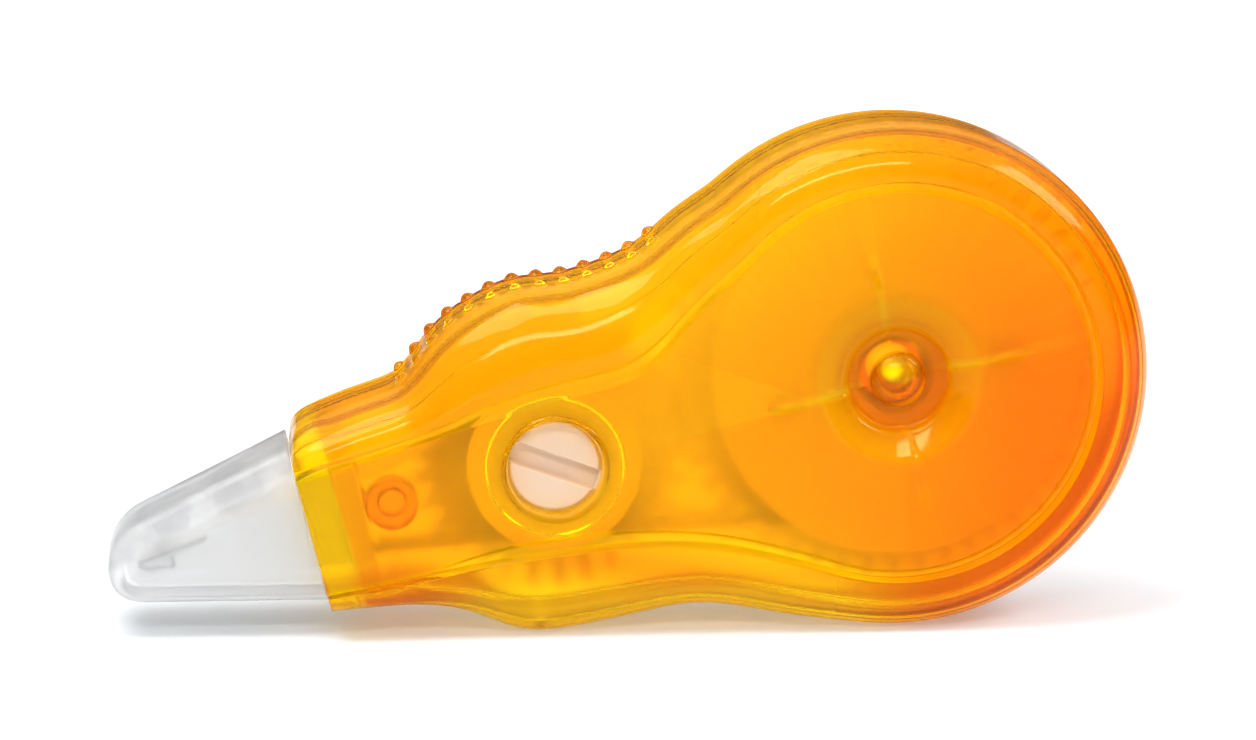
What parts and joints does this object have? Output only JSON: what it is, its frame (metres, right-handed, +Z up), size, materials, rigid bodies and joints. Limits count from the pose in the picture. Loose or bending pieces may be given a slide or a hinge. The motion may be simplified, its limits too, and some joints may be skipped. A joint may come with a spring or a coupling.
{
  "type": "correction tape",
  "caption": "Hand-held correction tape roller: translucent orange case with a nubbed grip, slotted hub window and frosted cap; geared reels with a slip clutch inside.",
  "frame": {"origin": "centre of the bounding box, at the surface that the lower edge stands on", "axes": "+X from the cap towards the big round end, +Y through the thickness from the window side to the plain side, +Z up"},
  "size_m": [0.0718, 0.013, 0.0352],
  "materials": {
    "orange_plastic": "translucent gloss, fine frost on the panels",
    "frosted_plastic": "frosted, translucent",
    "white_plastic": "satin",
    "hub_plastic": "satin",
    "soft_edge": "matte",
    "grey_rubber": "matte",
    "white_tape": "matte",
    "liner_paper": "smooth"
  },
  "bodies": {
    "case": {"front_case": "orange_plastic", "rear_case": "orange_plastic", "applicator_head": "white_plastic", "applicator_blade": "soft_edge", "tape_feed": "white_tape", "tape_return": "liner_paper"},
    "drive_gear": {"supply_gear": "white_plastic", "clutch_ring": "grey_rubber"},
    "supply_reel": {"supply_core": "white_plastic", "tape_supply": "white_tape"},
    "takeup_reel": {"takeup_gear": "white_plastic", "takeup_hub": "hub_plastic", "tape_takeup": "liner_paper"},
    "cap": {"cap": "frosted_plastic"}
  },
  "joints": [
    {"name": "supply_spin", "type": "hinge", "parent": "case", "child": "drive_gear", "pos_m": [0.0182, 0, 0.0176], "axis": [0, 1, 0], "continuous": true},
    {"name": "reel_slip", "type": "hinge", "parent": "drive_gear", "child": "supply_reel", "pos_m": [0.0182, 0, 0.0176], "axis": [0, 1, 0], "continuous": true},
    {"name": "takeup_spin", "type": "hinge", "parent": "case", "child": "takeup_reel", "pos_m": [-0.00542, 0, 0.01189], "axis": [0, 1, 0], "continuous": true},
    {"name": "cap_pull", "type": "slide", "parent": "case", "child": "cap", "axis": [-0.9684, 0, -0.2496], "range_m": [0, 0.014]}
  ],
  "couplings": [
    {"joint": "takeup_spin", "follows": "supply_spin", "ratio": -1.6129}
  ]
}
